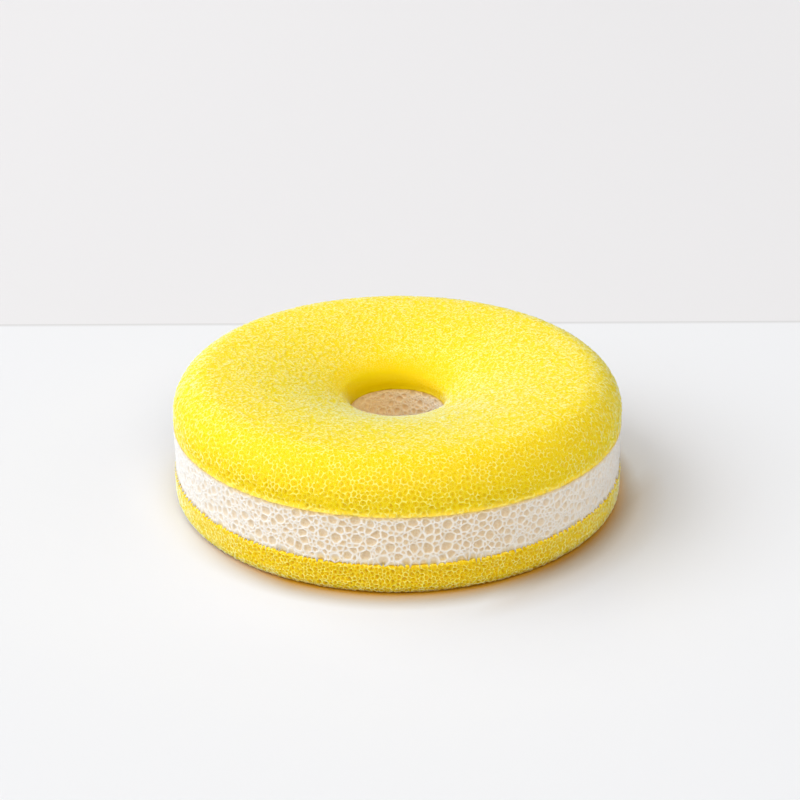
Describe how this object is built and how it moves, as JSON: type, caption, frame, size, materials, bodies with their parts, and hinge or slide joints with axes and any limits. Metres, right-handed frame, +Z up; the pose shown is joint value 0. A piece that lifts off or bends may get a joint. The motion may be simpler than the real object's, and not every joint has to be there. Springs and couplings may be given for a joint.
{
  "type": "cleaning sponge",
  "caption": "Round foam cleaning sponge: a white open-celled core between two yellow pads, the upper one dished with a rolled rim, with a finger hole through the middle.",
  "frame": {"origin": "on the surface that the sponge stands on, at the axis of the hole", "axes": "+Z up along the axis of the hole, through the base pad, the core and the top pad; the disc is round, so X and Y are free"},
  "size_m": [0.1008, 0.1008, 0.0287],
  "materials": {
    "yellow_foam": "matte",
    "white_foam": "matte"
  },
  "bodies": {
    "root": {"top_pad": "yellow_foam", "core": "white_foam", "base_pad": "yellow_foam"}
  },
  "joints": []
}
